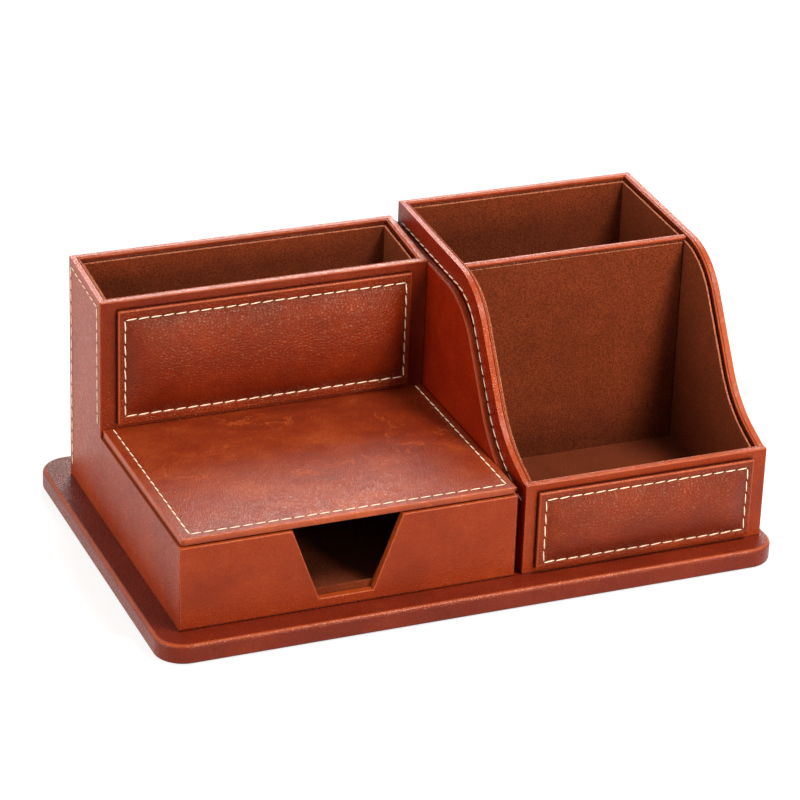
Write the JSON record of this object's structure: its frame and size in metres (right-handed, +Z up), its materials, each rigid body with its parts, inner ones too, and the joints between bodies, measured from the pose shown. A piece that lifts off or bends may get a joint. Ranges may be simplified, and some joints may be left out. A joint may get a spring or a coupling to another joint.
{
  "type": "memo pad holder with drawer",
  "caption": "Leatherette desk organiser: a notched drawer under a memo shelf, a pen tray behind it and a divided phone stand with swept sides, on a base plate.",
  "frame": {"origin": "centre of the whole outline, on the underside of the felt underlay", "axes": "+Z up, +X to the right along the long side, -Y towards the front where the drawer opens"},
  "size_m": [0.296, 0.1888, 0.128],
  "materials": {
    "leather": "semi-gloss, fine pebble grain",
    "padded_leather": "semi-gloss, padded, stitched in cream",
    "suede": "matt brushed suede",
    "lined_card": "matt paper-covered board",
    "backing_card": "matt board under the cushion",
    "felt": "matt felt"
  },
  "bodies": {
    "organiser": {"base_plate": "leather", "base_underlay": "felt", "bay_floor": "lined_card", "bay_left_card": "lined_card", "bay_rear_wall": "leather", "bay_right_card": "lined_card", "curved_side_cover": "leather", "divider_board": "leather", "divider_suede_front": "suede", "divider_suede_rear": "suede", "left_side_panel": "leather", "right_side_panel": "leather", "stand_floor": "leather", "stand_front_wall": "leather", "stand_left_wall": "leather", "stand_panel_card": "backing_card", "stand_panel_cushion": "padded_leather", "stand_rear_wall": "leather", "stand_right_wall": "leather", "stand_suede_floor_front": "suede", "stand_suede_floor_rear": "suede", "stand_suede_front": "suede", "stand_suede_left_front": "suede", "stand_suede_left_rear": "suede", "stand_suede_rear": "suede", "stand_suede_right_front": "suede", "stand_suede_right_rear": "suede", "top_panel_board": "leather", "top_panel_cover": "leather", "tray_floor": "leather", "tray_front_wall": "leather", "tray_panel_card": "backing_card", "tray_panel_cushion": "padded_leather", "tray_rear_wall": "leather", "tray_suede_floor": "suede", "tray_suede_front": "suede", "tray_suede_left": "suede", "tray_suede_rear": "suede", "tray_suede_right": "suede"},
    "drawer": {"drawer_back": "lined_card", "drawer_floor": "lined_card", "drawer_front": "leather", "drawer_front_lining": "suede", "drawer_left_side": "lined_card", "drawer_right_side": "lined_card", "drawer_suede_floor": "suede"}
  },
  "joints": [
    {"name": "drawer_slide", "type": "slide", "parent": "organiser", "child": "drawer", "axis": [0, -1, 0], "range_m": [0, 0.085]}
  ]
}
